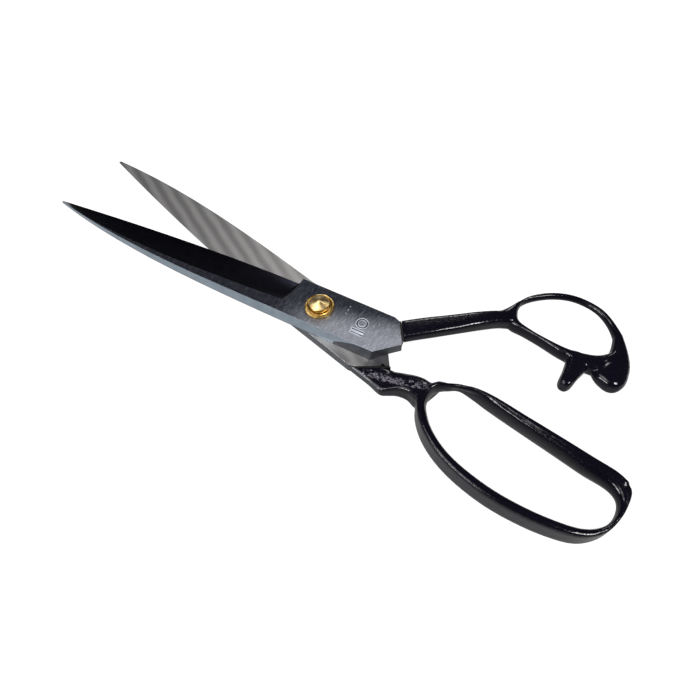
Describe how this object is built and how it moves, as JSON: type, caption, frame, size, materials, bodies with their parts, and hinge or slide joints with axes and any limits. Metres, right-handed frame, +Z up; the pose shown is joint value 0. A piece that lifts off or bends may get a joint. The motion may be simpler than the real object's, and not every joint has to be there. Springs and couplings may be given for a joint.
{
  "type": "fabric shears",
  "caption": "Tailor's fabric shears with long ground blades on a brass-nutted pivot, a long closed finger bow and a round thumb ring with a stop prong.",
  "frame": {"origin": "on the surface the shears lie on, where the pivot axis meets it, at the centre of the pivot bolt's flat head", "axes": "+X from the pivot towards the handles along the bisector of the blades at rest, +Y towards the thumb ring's side, +Z up out of the table through the brass nut"},
  "size_m": [0.279, 0.1024, 0.0156],
  "materials": {
    "blade_steel": "ground and satin polished carbon steel, hollow bevels nearly mirror bright",
    "black_enamel": "glossy baked black enamel over cast iron, faint orange peel",
    "braze": "dull filed brazing metal",
    "bolt_steel": "turned bright steel",
    "pivot_brass": "lathe-turned polished brass"
  },
  "bodies": {
    "finger_half": {"finger_blade": "blade_steel", "finger_braze": "braze", "finger_handle": "black_enamel", "pivot_bolt": "bolt_steel", "spring_washer": "bolt_steel", "dished_washer": "pivot_brass", "cone_nut": "pivot_brass"},
    "thumb_half": {"thumb_blade": "blade_steel", "thumb_braze": "braze", "thumb_handle": "black_enamel"}
  },
  "joints": [
    {"name": "pivot", "type": "hinge", "parent": "finger_half", "child": "thumb_half", "pos_m": [0, 0, 0.006], "axis": [0, 0, 1], "range_deg": [-14.1, 115]}
  ]
}
